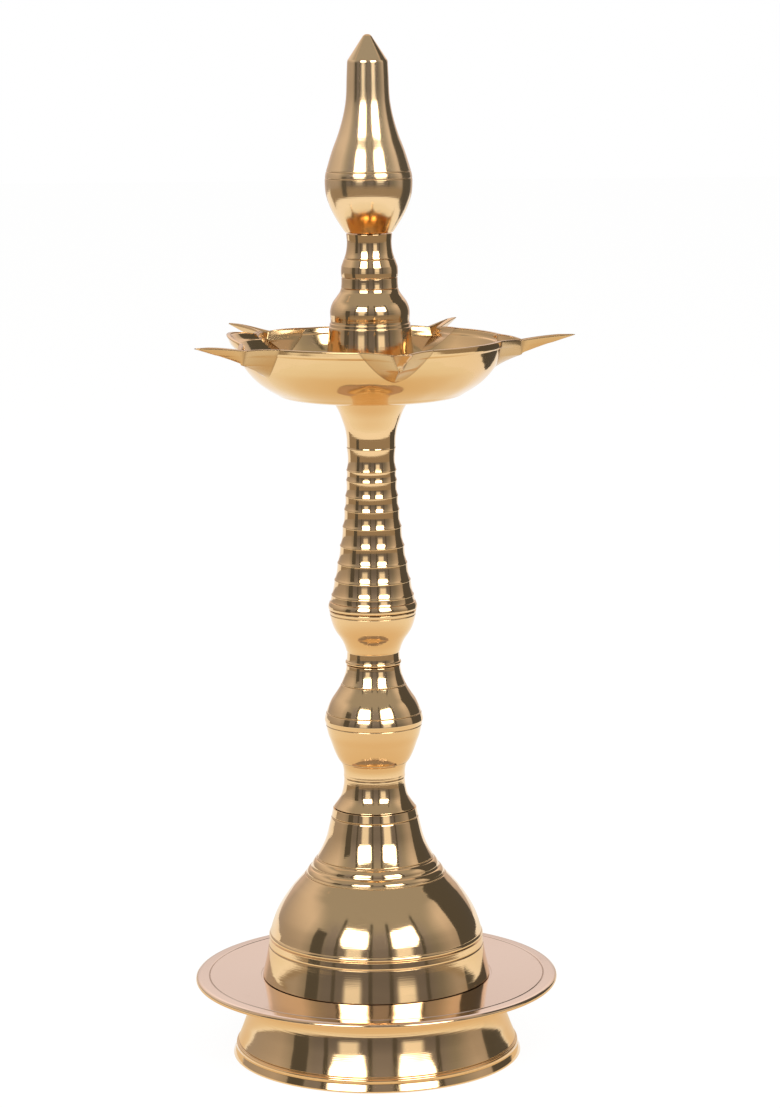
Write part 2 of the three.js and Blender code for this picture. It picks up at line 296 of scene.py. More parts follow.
# Merges where a mesh of rows and columns meets itself, and shades it smooth. It also stores how much of the tarnish
# tone each point takes: tarnish in a turned piece's grooves, painted shade on the bowl's spouts
def closedGrid(maker, grid, position, hollow):
    moved = maker.add("GeometryNodeSetPosition", {}, {"Geometry": grid, "Position": position})
    marked = maker.add("GeometryNodeStoreNamedAttribute", {"data_type": "FLOAT", "domain": "POINT"},
                       {"Geometry": moved, "Name": "hollow", "Value": hollow})
    joined = maker.add("GeometryNodeMergeByDistance", {}, {"Geometry": marked, "Distance": joinWithin})
    return maker.add("GeometryNodeSetShadeSmooth", {}, {"Geometry": joined})


def pointCount(maker, geometry):
    return maker.add("GeometryNodeAttributeDomainSize", {"component": "MESH"}, {"Geometry": geometry})


def sampled(maker, geometry, index, value, kind="FLOAT"):
    return maker.add("GeometryNodeSampleIndex", {"data_type": kind, "domain": "POINT"},
                     {"Geometry": geometry, "Value": value, "Index": index})


def named(maker, name):
    return maker.add("GeometryNodeInputNamedAttribute", {"data_type": "FLOAT"}, {"Name": name})


# A grid, and for each of its points the row and the column that it stands in
def gridPlaces(maker, rows, across):
    grid = maker.add("GeometryNodeMeshGrid", {}, {"Vertices X": rows, "Vertices Y": across})
    index = maker.add("GeometryNodeInputIndex", {}, {})
    row = ((index + 0.5) / across).calc("FLOOR")
    column = index - row * across
    return grid, row, column


# Turns the outline about the lamp's axis
def turningTree():
    maker, given = newTree("turning", {"Facets": "Int", "Material": "Material"})
    section = given["Geometry"]
    grid, row, column = gridPlaces(maker, pointCount(maker, section), given["Facets"] + 1)
    spot = sampled(maker, section, row, maker.add("GeometryNodeInputPosition", {}, {}), "FLOAT_VECTOR")
    turn = column / given["Facets"] * math.tau
    across = spot.part(0)
    position = maker.vector(across * turn.calc("COSINE"), across * turn.calc("SINE"), spot.part(2))
    turned = closedGrid(maker, grid, position, sampled(maker, section, row, named(maker, "hollow")))
    return endTree(maker, turned, given["Material"])


# Cuts a screw thread between two heights of a turned stud
def threadTree():
    maker, given = newTree("thread", {"Pitch": "Float", "Depth": "Float", "Low": "Float", "High": "Float",
                                      "Radius": "Float", "Material": "Material"})
    place = maker.add("GeometryNodeInputPosition", {}, {})
    x, y, z = place.part(0), place.part(1), place.part(2)
    radius = (x * x + y * y).calc("SQRT")
    turn = y.calc("ARCTAN2", x) / math.tau
    wave = ((z / given["Pitch"] - turn) % 1 - 0.5).calc("ABSOLUTE") * 2
    flank = (wave * 1.5 - 0.25).clamp()  # flats at the crest and the root
    runOut = ((z - given["Low"]) / given["Pitch"] * 2).clamp() * ((given["High"] - z) / given["Pitch"] * 2).clamp()
    onSide = radius.calc("GREATER_THAN", given["Radius"] * 0.98)
    scale = 1 - flank * runOut * onSide * given["Depth"] / given["Radius"]
    moved = maker.add("GeometryNodeSetPosition", {}, {
        "Geometry": given["Geometry"], "Position": maker.vector(x * scale, y * scale, z),
    })
    return endTree(maker, moved, given["Material"])


turningNodes = turningTree()
threadNodes = threadTree()


# Runs a tree on a piece and keeps the result as its plain mesh
def shapedBy(piece, tree, values):
    modifier = piece.modifiers.new(tree.name, "NODES")
    modifier.node_group = tree
    for item in tree.interface.items_tree:
        if item.in_out == "INPUT" and item.name in values:
            modifier[item.identifier] = values[item.name]
    depsgraph = bpy.context.evaluated_depsgraph_get()
    mesh = bpy.data.meshes.new_from_object(piece.evaluated_get(depsgraph))
    mesh.name = piece.name
    piece.modifiers.clear()
    piece.data = mesh


def volumeOf(mesh):
    total = 0
    mesh.calc_loop_triangles()
    for triangle in mesh.loop_triangles:
        a, b, c = [mesh.vertices[i].co for i in triangle.vertices]
        total += a.dot(b.cross(c)) / 6
    return total


def faceOutwards(piece):
    if volumeOf(piece.data) < 0:
        piece.data.flip_normals()


def turnedPiece(name, outline, material, closed=False, softness=0.35, facets=160):
    piece = newPiece(name, outlineMesh(name, outline, closed, softness))
    shapedBy(piece, turningNodes, {"Facets": facets, "Material": material})
    faceOutwards(piece)
    return piece


def finishPiece(piece, node, body):
    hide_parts(node)
    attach(piece, body)


def seatOf(node):
    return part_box(node)[0][2] / mm


def newMaterial(name):
    material = bpy.data.materials.new(name)
    material.use_nodes = True
    material.node_tree.nodes.clear()
    return material, Maker(material.node_tree)


# Each finish: its tones, how rough it is, and how much smudges, lathe marks and hammered waves show. "edge" is the
# radius in millimetres that another tone starts at, and that tone.
# The tarnish tone of each finish is real tarnish in grooves and at random spots, and painted shade on the bowl's spout
# creases and flanks
brassLooks = {
    "polished": {"colour": (0.86, 0.60, 0.32), "warm": (0.84, 0.56, 0.28), "tarnishAndPaintedShade": (0.30, 0.17, 0.07),
                 "roughness": 0.075, "smudge": 0.08, "turning": 0.34, "waves": 0.0},
    "satin": {"colour": (0.90, 0.67, 0.40), "warm": (0.87, 0.61, 0.33), "tarnishAndPaintedShade": (0.30, 0.17, 0.07),
              "roughness": 0.15, "smudge": 0.12, "turning": 0.34, "waves": 0.0},
    "plate": {"colour": (0.88, 0.73, 0.61), "warm": (0.86, 0.69, 0.56), "tarnishAndPaintedShade": (0.34, 0.21, 0.12),
              "roughness": 0.10, "smudge": 0.10, "turning": 0.12, "waves": 0.0,
              "edge": (67.1, (0.86, 0.58, 0.30))},
    "spun": {"colour": (0.83, 0.58, 0.29), "warm": (0.79, 0.51, 0.24), "tarnishAndPaintedShade": (0.30, 0.17, 0.07),
             "roughness": 0.09, "smudge": 0.10, "turning": 0.05, "waves": 0.30},
    "threaded": {"colour": (0.66, 0.50, 0.28), "warm": (0.58, 0.40, 0.20), "tarnishAndPaintedShade": (0.16, 0.10, 0.04),
                 "roughness": 0.26, "smudge": 0.16, "turning": 0.3, "waves": 0.0},
}
# The noise behind every finish: cells to the metre, heights in metres, and shares
grain = {"rings": 2600, "ringDrift": 0.6, "ringHeight": 0.00004, "cloud": 34.0, "spotsFrom": 0.62, "spotTarnish": 0.9,
         "broad": 11.0, "broadGain": 2.2, "broadShift": 0.6, "swell": 55.0, "swellHeight": 0.004,
         "tarnishAndShadeGain": 0.75, "hollowRough": 0.25, "bump": 0.6, "leastRough": 0.03}


def brassMaterial(name, look):
    material, maker = newMaterial(name)
    place = maker.add("ShaderNodeTexCoord", {}, {}, "Object")
    x, y, z = place.part(0), place.part(1), place.part(2)
    radius = (x * x + y * y).calc("SQRT")
    # lathe marks run round the piece, so their noise hardly changes with the turn
    ringPlace = maker.vector(radius * grain["rings"], z * grain["rings"], y.calc("ARCTAN2", x) * grain["ringDrift"])
    marks = maker.add("ShaderNodeTexNoise", {}, {"Vector": ringPlace, "Scale": 1.0, "Detail": 3.0})
    cloud = maker.add("ShaderNodeTexNoise", {}, {
        "Vector": place, "Scale": grain["cloud"], "Detail": 4.0, "Roughness": 0.6,
    })
    broad = maker.add("ShaderNodeTexNoise", {}, {"Vector": place, "Scale": grain["broad"], "Detail": 2.0})
    hollow = maker.add("ShaderNodeAttribute", {"attribute_name": "hollow"}, {}, "Fac")
    warmth = (broad * grain["broadGain"] - grain["broadShift"]).clamp()
    tone = maker.blend(warmth, (*look["colour"], 1), (*look["warm"], 1))
    if "edge" in look:
        start, edge = look["edge"]
        tone = maker.blend((radius / mm - start).clamp(), tone, (*edge, 1))
    spots = (cloud - grain["spotsFrom"]).calc("MAXIMUM", 0) * grain["spotTarnish"]
    # darkens grooves and random spots with tarnish, and the bowl's spouts with painted shade
    colour = maker.blend((hollow * grain["tarnishAndShadeGain"] + spots).clamp(), tone, (*look["tarnishAndPaintedShade"], 1))
    rough = (cloud - 0.5) * look["smudge"] + hollow * grain["hollowRough"] + look["roughness"]
    height = marks * look["turning"] * grain["ringHeight"]
    if look["waves"]:
        swell = maker.add("ShaderNodeTexNoise", {}, {"Vector": place, "Scale": grain["swell"], "Detail": 1.0})
        height = height + swell * look["waves"] * grain["swellHeight"]
    bump = maker.add("ShaderNodeBump", {}, {"Strength": grain["bump"], "Distance": 1.0, "Height": height})
    shader = maker.add("ShaderNodeBsdfPrincipled", {}, {
        "Base Color": colour, "Metallic": 1.0, "Roughness": rough.calc("MAXIMUM", grain["leastRough"]), "Normal": bump,
    })
    maker.add("ShaderNodeOutputMaterial", {}, {"Surface": shader})
    return material


polishedBrass = brassMaterial("polishedBrass", brassLooks["polished"])
satinBrass = brassMaterial("satinBrass", brassLooks["satin"])
plateBrass = brassMaterial("plateBrass", brassLooks["plate"])
spunBrass = brassMaterial("spunBrass", brassLooks["spun"])
threadedBrass = brassMaterial("threadedBrass", brassLooks["threaded"])
print("materials ready")

# Holes for the studs, in millimetres: up from a section's seat, and down into the top of the one below
studGap = 0.3
studHole = 4 + studGap
baseHole = 5 + studGap
socketDepth = 12.3
threadHoleDepth = 10.6


def socketHole(radius):
    return "line", (radius, socketDepth), (radius, 0)


def threadHole(top, radius):
    return "line", (radius, top), (radius, top - threadHoleDepth), (0, top - threadHoleDepth)


# Each turned piece: where its outline starts, the radius and height above its seat of each place that its lines and
# curves pass, and its cuts, each with its height, width and depth, or for a ring on a flat face its radius
foot = {
    "start": (51.4, 0),
    "path": (
        ("line", (54.4, 0), (54.3, 0.6), (52.95, 3.9)),
        ("curve", (52.6, 4.9), (51.4, 7.8), (50.2, 11.0), (49.1, 14.2), (48.3, 17.4), (47.85, 20.4), (47.8, 22.6)),
        ("curve", (49.4, 25.2), (51.9, 27.0), (54.4, 27.8)),
        ("line", (54.4, 28), (37.8, 28), (37.8, 23), (45.4, 23), (45.4, 15.5)),
        ("curve", (46.2, 10.5), (48.2, 5.4))),
    "cuts": (("bead", 4.1, 1.1, 0.3), ("groove", 5.2, 0.6, 0.3)),
}


def makeFoot():
    node = "foot_skirt"
    piece = turnedPiece("footSkirt", outlineOf(foot, seatOf(node)), polishedBrass, closed=True)
    finishPiece(piece, node, "base")


plate = {
    "start": (37.8, 0),
    "path": (
        ("line", (67.3, 0)),
        ("curve", (67.95, 0.25), (68.1, 0.85), (67.9, 1.45), (67.3, 1.85)),
        ("line", (66.6, 2.0), (62.5, 2.12), (43.5, 1.68), (43.5, 1.5), (37.8, 1.5))),
    "cuts": (("ring", 63.0, 0.7, 0.3),),
    "facets": 192,
}


def makePlate():
    node = "drip_plate"
    piece = turnedPiece("dripPlate", outlineOf(plate, seatOf(node)), plateBrass, closed=True, facets=plate["facets"])
    finishPiece(piece, node, "base")


# Its heights are above its shoulder on the plate, and its spigot goes down from there
dome = {
    "spigot": 5,
    "start": (34.5, -5),
    "path": (
        ("line", (37.5, -5), (37.5, 0), (42.85, 0)),
        ("curve", (42.63, 1.0), (42.23, 2.8), (41.6, 5.6), (40.98, 8.8), (40.46, 12.0), (39.98, 15.0)),
        ("line", (39.75, 16.9)),
        ("curve", (38.7, 20.4), (37.2, 24.2), (34.7, 28.6), (31.5, 33.1), (28.9, 36.1)),
        ("curve", (26.3, 39.0), (23.2, 43.1), (20.2, 48.2), (18.2, 53.0), (17.0, 57.8), (15.9, 62.6), (15.6, 64.2)),
        ("line", (baseHole, 64.2), (baseHole, 51.2), (12.6, 51.2)),
        ("curve", (14.6, 45.6), (23.5, 37.9), (31.9, 24.6), (34.5, 15.9))),
    "cuts": (("groove", 60.9, 0.6, 0.25), ("groove", 45.4, 0.5, 0.2), ("bead", 43.5, 2.9, 0.3),
             ("bead", 40.6, 2.4, 0.28), ("groove", 39.0, 0.5, 0.2), ("bead", 15.7, 1.9, 0.4),
             ("groove", 11.9, 0.6, 0.22)),
}


def makeDome():
    node = "base_dome"
    piece = turnedPiece("baseDome", outlineOf(dome, seatOf(node) + dome["spigot"]), polishedBrass, closed=True)
    finishPiece(piece, node, "base")


bulb = {
    "start": (0, socketDepth),
    "path": (
        socketHole(baseHole),
        ("line", (15.4, 0)),
        ("curve", (13.7, 2.3), (12.5, 4.4), (11.9, 6.5), (11.55, 8.6), (11.4, 10.6), (11.4, 11.5)),
        ("line", (11.55, 11.7)),
        ("curve", (11.5, 13.2), (11.65, 14.9), (12.15, 16.8)),
        ("line", (12.5, 17.2)),
        ("curve", (13.5, 18.6), (14.6, 20.9), (15.45, 23.1), (16.2, 25.3), (17.05, 27.6), (17.6, 29.8), (18.2, 32.6)),
        ("line", (18.4, 33.4)),
        ("curve", (18.2, 34.6), (17.75, 36.2)),
        ("curve", (16.75, 38.9), (15.65, 41.1), (14.1, 43.4), (12.6, 45.8), (11.5, 48.1), (10.6, 50.5), (10.1, 52.8)),
        ("line", (10.0, 54.2), (6, 54.2), (6, 58.2), (0, 58.2))),
    "cuts": (("groove", 11.55, 0.4, 0.15), ("groove", 17.4, 0.5, 0.2), ("groove", 31.6, 0.5, 0.2),
             ("groove", 36.3, 0.5, 0.2), ("groove", 46.9, 0.6, 0.22)),
}


def makeBulb():
    node = "stem_bulb"
    piece = turnedPiece("stemBulb", outlineOf(bulb, seatOf(node)), polishedBrass)
    finishPiece(piece, node, "lower_stem")


bead = {
    "start": (6.3, 0),
    "path": (
        ("line", (9.9, 0)),
        ("curve", (10.35, 0.25), (10.45, 0.65), (10.3, 1.1)),
        ("line", (9.95, 1.3)),
        ("curve", (9.8, 2.6), (9.75, 4.6)),
        ("line", (9.95, 4.85)),
        ("curve", (10.8, 7.4), (12.0, 9.7), (13.35, 11.6), (14.4, 13.4), (15.15, 15.3), (15.65, 17.1), (16.05, 19.0)),
        ("line", (16.2, 20.4), (studHole, 20.4), (studHole, 4.3), (6.3, 4.3))),
    "cuts": (("groove", 18.9, 0.5, 0.2),),
}


def makeBead():
    node = "stem_bead"
    piece = turnedPiece("stemBead", outlineOf(bead, seatOf(node)), polishedBrass, closed=True)
    finishPiece(piece, node, "lower_stem")


# A flare that widens downward, with a cove between each two ring edges; "bold" names the edges that stand out most
ringed = {
    "rings": (5.1, 10.7, 17.1, 23.6, 30.7, 37.1, 42.2, 48.0, 51.8, 60.1), "bold": (23.6, 51.8), "edge": 0.05,
    "neck": 9.0, "flare": 7.5, "power": 1.9, "cove": 0.38, "fullCove": 6, "lowCove": 0.55, "coveSteps": 12,
    "lip": 2.9, "neckTop": 63.4, "collar": ((9.15, 65.0), (9.6, 67.5), (10.6, 70.6), (11.9, 74.0), (14.0, 77.8)),
    "top": (14.1, 78.1), "softness": 0.12, "facets": 128,
}


def stemRadius(height):
    top = ringed["rings"][-1]
    return ringed["neck"] + ringed["flare"] * max(0, (top - height) / top) ** ringed["power"]


def coveDepth(span, level):  # shallower where the rings stand close, and low down
    low = ringed["lowCove"]
    share = low + (1 - low) * level / ringed["rings"][-1]
    return ringed["cove"] * min(1, span / ringed["fullCove"]) * share


def makeRingedStem():
    node = "ringed_stem"
    below = ringed["lip"]
    outline = Outline(seatOf(node), 0, socketDepth).line(*socketHole(studHole)[1:])
    outline.line((stemRadius(0) - 0.3, 0))
    outline.curve((stemRadius(0), 0.5), (stemRadius(0), 1.6), (stemRadius(0) - 0.5, below))
    outline.line((stemRadius(below) - 0.35, below + 0.2))
    for level in ringed["rings"]:
        span = level - below
        cove = []
        for step in range(1, ringed["coveSteps"] + 1):
            share = step / ringed["coveSteps"]
            sunk = coveDepth(span, level) * 4 * share * (1 - share) * (1.25 - 0.5 * share)  # deepest below its middle
            cove.append((stemRadius(below + span * share) - sunk, below + span * share))
        outline.curve(*cove)
        edge = stemRadius(level) + ringed["edge"] * (2 if level in ringed["bold"] else 1)
        outline.line((edge, level + 0.1), (edge, level + 0.35), (stemRadius(level) - 0.05, level + 0.6))
        below = level + 0.6
    outline.line((ringed["neck"], ringed["neckTop"])).curve(*ringed["collar"])
    outline.line(ringed["top"], *threadHole(ringed["top"][1], studHole)[1:])
    piece = turnedPiece("ringedStem", outline, polishedBrass, softness=ringed["softness"], facets=ringed["facets"])
    finishPiece(piece, node, "upper_stem")


bell = {
    "start": (0, socketDepth),
    "path": (
        socketHole(studHole),
        ("line", (17.5, 0), (17.5, 0.8)),
        ("curve", (16.9, 6.0), (16.0, 14.0), (15.35, 21.0), (15.2, 24.4)),
        ("line", (14.85, 24.5), (14.8, 25.7), (14.5, 25.8), (14.45, 26.6)),
        ("curve", (14.55, 30.4), (13.7, 33.2), (12.2, 35.4), (10.8, 37.5), (10.35, 39.8), (10.3, 42.4), (10.45, 44.4),
         (10.3, 46.6)),
        ("curve", (9.5, 48.8), (8.7, 51.0), (8.3, 53.2), (8.15, 55.4), (8.3, 57.4)),
        ("line", (8.4, 58.5)),
        threadHole(58.5, studHole)),
    "cuts": (("groove", 38.6, 0.5, 0.2), ("groove", 42.5, 0.5, 0.22), ("groove", 49.5, 0.5, 0.22)),
    "softness": 0.25,
}


def makeBell():
    node = "bowl_bell"
    piece = turnedPiece("bowlBell", outlineOf(bell, seatOf(node)), polishedBrass, softness=bell["softness"])
    finishPiece(piece, node, "bell")


finial = {
    "start": (0, socketDepth),
    "path": (
        socketHole(studHole),
        ("line", (8.6, 0), (9.1, 0.6)),
        ("curve", (11.2, 3.8), (12.9, 6.7), (14.4, 10.0), (15.6, 13.8), (16.0, 18.0), (15.8, 21.1), (15.0, 24.1),
         (13.2, 29.9), (11.0, 35.7), (9.3, 41.4), (8.3, 46.2), (7.85, 50.4), (7.65, 56.0), (7.4, 61.6)),
        ("line", (7.3, 62.3), (1.6, 71.0)),
        ("curve", (0.9, 71.55), (0, 71.7))),
    "cuts": (("groove", 19.9, 0.5, 0.22), ("groove", 22.4, 0.5, 0.22)),
}


def makeFinial():
    node = "finial"
    piece = turnedPiece("finialTop", outlineOf(finial, seatOf(node)), satinBrass)
    finishPiece(piece, node, "top")


# A stud's bevel below, its tip's bevel inwards and down, how high a row of its faces is, its thread, and how much
# stays plain below and above that
stud = {"bevel": 0.7, "tip": (0.2, 0.3), "row": 0.2, "pitch": 2, "threadDepth": 0.9, "plainLow": 0.6, "plainHigh": 1,
        "softness": 0.1, "facets": 64}


def makeStud(name, node, body, radius):
    low, high = [corner[2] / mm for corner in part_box(node)]
    sideLow = low + stud["bevel"]
    side = high - stud["tip"][1] - sideLow
    steps = round(side / stud["row"])
    outline = Outline(0, 0, low).line((radius - stud["bevel"], low), (radius, sideLow))
    outline.line(*((radius, sideLow + side * step / steps) for step in range(1, steps + 1)))
    outline.line((radius - stud["tip"][0], high), (0, high))
    piece = turnedPiece(name, outline, threadedBrass, softness=stud["softness"], facets=stud["facets"])
    shapedBy(piece, threadNodes, {
        "Pitch": stud["pitch"] * mm, "Depth": stud["threadDepth"] * mm, "Low": (low + stud["plainLow"]) * mm,
        "High": (high - stud["plainHigh"]) * mm, "Radius": radius * mm, "Material": threadedBrass,
    })
    finishPiece(piece, node, body)


# The bowl in millimetres above its seat. "spouts" lists the azimuth that each one points to, and "lean" and "lift"
# how far the arc after it leans out and rises. Pairs are for the outer skin and the inner one.
bowl = {
    "height": 22.3, "radius": 50, "floor": 2, "wall": 1.6, "hole": 4.3, "flat": (13, 20), "narrowFrom": 14,
    "profile": ((31.7, 1.2), (35.6, 2.9), (40.3, 5.9), (43.5, 8.8), (46.0, 11.9), (47.35, 14.6), (48.3, 17.2),
                (49.0, 19.4)),
    "lip": ((49.55, 19.8), (49.75, 20.4), (50, 21.9)), "rim": ((22.0, 0), (22.21, 0.055), (22.3, 0.19)),
    "dense": 10, "fineRow": 0.3, "plainRow": 1.0,
    "spouts": (-79, -2, 64, 136, 214), "lean": (0, 0, 0, 3, 0), "lift": (0, 0, 0, 2, 0), "rise": 1.2, "dip": 0.8,
    "root": 16, "creasePower": 0.6, "keel": 10.8, "innerKeel": 1.4, "keelPower": 1.65, "reach": (76, 68),
    "fold": (55.6, 54.8), "foldHalf": (2.9, 1.35), "foldPower": 0.8, "tipShare": 0.17, "pinchGain": 7,
    "flankEdge": (0, 0.035, 0.09), "flankColumns": 11, "arcEdge": (0.006, 0.02), "arcColumns": 30,
    # painted shade over the spouts: darkest at the root crease, fading over the flank and the nose, never less than
    # "least"
    "tarnishAndPaintedShade": {"crease": 0.9, "fade": 9, "flank": 0.46, "noseFade": 6, "least": 0.2},
}


# Where the spout's crease, fold and keel lie at one level, for the outer skin or the inner one, and how far up the
# spouts' painted shade has grown by that level
def spoutPlaces(level, radius, inner):
    keel = bowl["keel"] + bowl["innerKeel"] * bowl["wall"] * inner
    share = max(0, (level - keel) / (bowl["height"] - keel))
    rimRadius = bowl["radius"] - bowl["wall"] * inner
    reach = bowl["reach"][inner] - rimRadius
    tip = radius + reach * share ** bowl["keelPower"]
    fold = bowl["fold"][inner]
    foldFrom = ((fold - rimRadius) / reach) ** (1 / bowl["keelPower"])
    opened = max(0, (share - foldFrom) / (1 - foldFrom))
    return {"crease": bowl["root"] * share ** bowl["creasePower"], "tip": tip, "foldOut": min(tip, fold),
            "foldHalf": bowl["foldHalf"][inner] * opened ** bowl["foldPower"], "grown": share ** 2,
            "pinch": min(1, share * bowl["pinchGain"])}


# Each row of the bowl's wall: from the hole's lower edge out and up, over the rim, and back to its upper edge
def bowlRows():
    skin = Outline(0, bowl["hole"], 0).line(*((radius, 0) for radius in bowl["flat"]))
    skin = skin.curve(*bowl["profile"]).line(*bowl["lip"]).points
    fine = [skin[0]]
    for before, after in zip(skin, skin[1:]):
        longest = bowl["fineRow"] if after.y > bowl["dense"] else bowl["plainRow"]
        count = max(1, math.ceil((after - before).length / longest)) if after.y > 0 else 1
        fine.extend(before.lerp(after, step / count) for step in range(1, count + 1))
    narrow = (bowl["radius"] - bowl["wall"]) / bowl["radius"]
    lower = 1 - bowl["floor"] / bowl["height"]
    outer = [(p.x, p.y, 0) for p in fine]
    inner = [(p.x if p.x < bowl["narrowFrom"] else p.x * narrow, bowl["floor"] + p.y * lower, 1) for p in fine]
    rim = [(bowl["radius"], level, share) for level, share in bowl["rim"]]
    rim += [(bowl["radius"], level, 1 - share) for level, share in bowl["rim"][::-1]]
    rows = []
    for radius, level, share in outer + rim + inner[::-1]:  # share goes from 0 outside to 1 inside, across the rim
        skins = []
        for side in (0, 1):
            reach = radius if share in (0, 1) else bowl["radius"] - bowl["wall"] * side
            skins.append({"radius": reach, **spoutPlaces(level, reach, side)})
        row = {label: skins[0][label] * (1 - share) + skins[1][label] * share for label in skins[0]}
        rows.append({"level": level, **row})
    return rows + rows[:1]


# How much painted shade one place on a spout gets, as a darker tone in its colour: the root crease most, then the fold
# and the flank, and the nose least
def spoutPaintedShade(flank, nose):
    dull = bowl["tarnishAndPaintedShade"]
    return max(dull["crease"] - dull["fade"] * flank, 0 if nose else dull["flank"],
               dull["crease"] - dull["fade"] * (1 - flank) - dull["noseFade"] * nose, dull["least"])


# Shares from 0 to 1 with narrow columns at both ends, so that shading stays crisp beside a crease
def guarded(edge, columns):
    even = (edge[-1] + (1 - 2 * edge[-1]) * i / columns for i in range(1, columns))
    return (*edge, *even, *(1 - share for share in edge[::-1]))


# Each column round the bowl: crease to fold, fold to tip, the same back again, then the arc to the next spout
def bowlColumns():
    shares = guarded(bowl["flankEdge"], bowl["flankColumns"])
    arc = guarded(bowl["arcEdge"], bowl["arcColumns"])
    near = [(share, 0) for share in shares] + [(1, share) for share in shares[1:]]
    columns = []
    for i, stand in enumerate(bowl["spouts"]):
        following = bowl["spouts"][i + 1] if i + 1 < len(bowl["spouts"]) else bowl["spouts"][0] + 360
        for side, places in ((-1, near), (1, near[-2::-1])):
            for flank, nose in places:
                lift = bowl["rise"] * nose - bowl["dip"] * flank ** 3 * (1 - nose) ** 2
                columns.append({"stand": stand, "side": side, "flank": flank, "nose": nose, "lift": lift,
                                "dull": spoutPaintedShade(flank, nose)})
        for share in arc:
            bulge = math.sin(math.pi * share)
            columns.append({"stand": stand, "side": 1, "arc": share, "gap": following - stand,
                            "lean": bowl["lean"][i] * bulge, "lift": bowl["lift"][i] * bulge})
    return columns + columns[:1]


columnLabels = ("stand", "side", "flank", "nose", "arc", "gap", "lean", "lift", "dull")
rowLabels = ("crease", "foldOut", "foldHalf", "tip", "grown", "pinch")
inMillimetres = ("lean", "lift", "foldOut", "foldHalf", "tip")


def attributesOf(places, labels):
    units = {label: mm if label in inMillimetres else 1 for label in labels}
    return {label: [place.get(label, 0) * unit for place in places] for label, unit in units.items()}


# Spreads the rows of the wall over the columns of the plan, and folds them out into the spouts
def bowlTree():
    maker, given = newTree("spoutedBowl", {"Plan": "Object", "Seat": "Float", "Tip Share": "Float",
                                           "Material": "Material"})
    wall = given["Geometry"]
    plan = maker.add("GeometryNodeObjectInfo", {}, {"Object": given["Plan"]}, "Geometry")
    grid, row, column = gridPlaces(maker, pointCount(maker, wall), pointCount(maker, plan))
    spot = sampled(maker, wall, row, maker.add("GeometryNodeInputPosition", {}, {}), "FLOAT_VECTOR")
    crease, foldOut, foldHalf, tip, grown, pinch = [
        sampled(maker, wall, row, named(maker, label)) for label in rowLabels]
    stand, side, flank, nose, arc, gap, lean, lift, dull = [
        sampled(maker, plan, column, named(maker, label)) for label in columnLabels]
    radius = spot.part(0) + lean * grown
    swing = (side * crease + arc * (gap - crease * 2)).calc("RADIANS")
    startOut, startAside = radius * swing.calc("COSINE"), radius * swing.calc("SINE")
    foldAside = side * foldHalf
    out = startOut + (foldOut - startOut) * flank + (tip - foldOut) * nose
    aside = startAside + (foldAside - startAside) * flank - foldAside * (1 - given["Tip Share"]) * nose
    turn = stand.calc("RADIANS")
    cosine, sine = turn.calc("COSINE"), turn.calc("SINE")
    position = maker.vector(out * cosine - aside * sine, out * sine + aside * cosine,
                            given["Seat"] + spot.part(2) + lift * grown)
    # each point stores the column's painted shade, grown in by the row, in the attribute that grooves use for tarnish
    return endTree(maker, closedGrid(maker, grid, position, dull * pinch), given["Material"])


def makeBowl():
    node = "oil_bowl"
    columns = bowlColumns()
    rows = bowlRows()
    plan = newPiece("bowlPlan", edgeMesh("bowlPlan", [(i * mm, 0, 0) for i in range(len(columns))],
                                         attributesOf(columns, columnLabels)))
    piece = newPiece("oilBowl", edgeMesh("oilBowl", [(row["radius"] * mm, 0, row["level"] * mm) for row in rows],
                                         attributesOf(rows, rowLabels)))
    shapedBy(piece, bowlTree(), {"Plan": plan, "Seat": seatOf(node) * mm, "Tip Share": bowl["tipShare"],
                                 "Material": spunBrass})
    bpy.data.objects.remove(plan)
    faceOutwards(piece)
    finishPiece(piece, node, "bowl")


makeFoot()
makePlate()
makeDome()
makeBulb()
makeBead()
makeRingedStem()
makeBell()
makeFinial()
makeBowl()
makeStud("baseStud", "base_stud", "base_screw", 5)
makeStud("stemStud", "stem_stud", "stem_screw", 4)
makeStud("bowlStud", "bowl_stud", "bowl_screw", 4)
makeStud("finialStud", "finial_stud", "finial_screw", 4)
print("pieces ready")


# The camera in metres and degrees, and its focal length as a share of the picture's height
view = {"distance": 1.256, "height": 0.397, "pitch": 9.35, "yaw": 0.30, "roll": 0.52, "focus": 3432 / 1108,
        "sensor": 36, "nearest": 0.05, "farthest": 30}


def makeCamera():
    data = bpy.data.cameras.new("camera")
    data.sensor_fit = "VERTICAL"
    data.sensor_height = view["sensor"]
    data.lens = view["focus"] * view["sensor"]
    data.clip_start = view["nearest"]
    data.clip_end = view["farthest"]
    camera = newPiece("camera", data)
    camera.matrix_world = (Matrix.Translation((0, -view["distance"], view["height"]))
                           @ Matrix.Rotation(math.radians(-view["yaw"]), 4, "Z")
                           @ Matrix.Rotation(math.radians(90 - view["pitch"]), 4, "X")
                           @ Matrix.Rotation(math.radians(-view["roll"]), 4, "Z"))
    scene.camera = camera


def seenDirectly(maker):  # by the camera, in a reflection or through glass
    camera, glossy, through = [
        maker.add("ShaderNodeLightPath", {}, {}, f"Is {ray} Ray") for ray in ("Camera", "Glossy", "Transmission")]
    return (camera + glossy + through).clamp()


def makeWorld():
    world = bpy.data.worlds.new("studio")
    world.use_nodes = True
    world.node_tree.nodes.clear()
    maker = Maker(world.node_tree)
    background = maker.add("ShaderNodeBackground", {}, {"Color": (1, 1, 1, 1), "Strength": 1.0})
    maker.add("ShaderNodeOutputWorld", {}, {"Surface": background})
    scene.world = world


